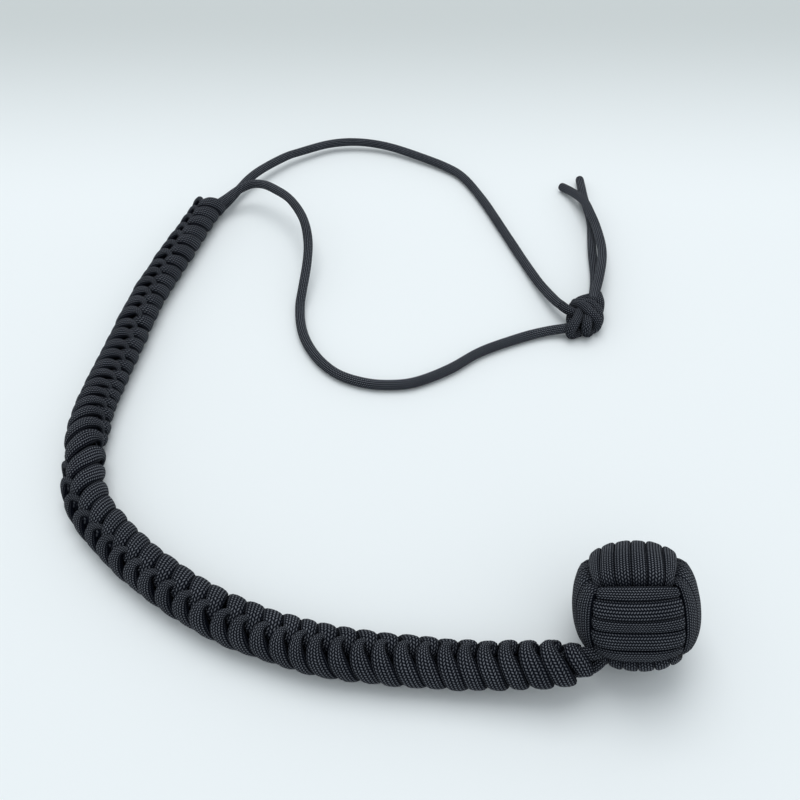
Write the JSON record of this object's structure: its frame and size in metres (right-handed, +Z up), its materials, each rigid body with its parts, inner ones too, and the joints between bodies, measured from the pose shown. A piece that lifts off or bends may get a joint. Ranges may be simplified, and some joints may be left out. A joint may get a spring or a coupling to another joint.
{
  "type": "monkey fist lanyard",
  "caption": "Black braided-cord lanyard with a monkey's fist ball at one end, a bendable snake-knot sinnet and a wide loop closed by a knot with loose tails.",
  "frame": {"origin": "on the surface the lanyard lies on, under the middle of the box round the fist and the sinnet", "axes": "+Z up from that surface, +Y from the fist towards the far end of the loop, +X from the sinnet towards the tails"},
  "size_m": [0.2088, 0.2958, 0.0371],
  "materials": {
    "cord": "matt black braided nylon",
    "ball": "bright steel bearing ball, hidden by the cord"
  },
  "bodies": {
    "fist": {"core_ball": "ball", "turns_front": "cord", "turns_top": "cord", "turns_side": "cord", "neck_strand_upper": "cord", "neck_strand_lower": "cord"},
    "sinnet_part_1": {"sinnet_1": "cord"},
    "sinnet_part_2": {"sinnet_2": "cord"},
    "sinnet_part_3": {"sinnet_3": "cord"},
    "sinnet_part_4": {"sinnet_4": "cord"},
    "sinnet_part_5": {"sinnet_5": "cord"},
    "sinnet_part_6": {"sinnet_6": "cord"},
    "loop": {"loop_leg_a": "cord", "loop_leg_b": "cord", "joining_knot": "cord", "tail_a": "cord", "tail_b": "cord"}
  },
  "joints": [
    {"name": "neck_swing", "type": "hinge", "parent": "fist", "child": "sinnet_part_1", "pos_m": [0.06912, -0.11054, 0.01227], "axis": [0, 0, 1], "range_deg": [-12, 45]},
    {"name": "sinnet_bend_1", "type": "hinge", "parent": "sinnet_part_1", "child": "sinnet_part_2", "pos_m": [0.00974, -0.10698, 0.00683], "axis": [0, 0, 1], "range_deg": [-6, 15]},
    {"name": "sinnet_bend_2", "type": "hinge", "parent": "sinnet_part_2", "child": "sinnet_part_3", "pos_m": [-0.0448, -0.0895, 0.00658], "axis": [0, 0, 1], "range_deg": [-6, 15]},
    {"name": "sinnet_bend_3", "type": "hinge", "parent": "sinnet_part_3", "child": "sinnet_part_4", "pos_m": [-0.08784, -0.0517, 0.00631], "axis": [0, 0, 1], "range_deg": [-6, 15]},
    {"name": "sinnet_bend_4", "type": "hinge", "parent": "sinnet_part_4", "child": "sinnet_part_5", "pos_m": [-0.09409, 0.00477, 0.00602], "axis": [0, 0, 1], "range_deg": [-6, 15]},
    {"name": "sinnet_bend_5", "type": "hinge", "parent": "sinnet_part_5", "child": "sinnet_part_6", "pos_m": [-0.08651, 0.06196, 0.00587], "axis": [0, 0, 1], "range_deg": [-6, 15]},
    {"name": "loop_swing", "type": "hinge", "parent": "sinnet_part_6", "child": "loop", "pos_m": [-0.0696, 0.1167, 0.0055], "axis": [0, 0, 1], "range_deg": [-10, 15]}
  ]
}
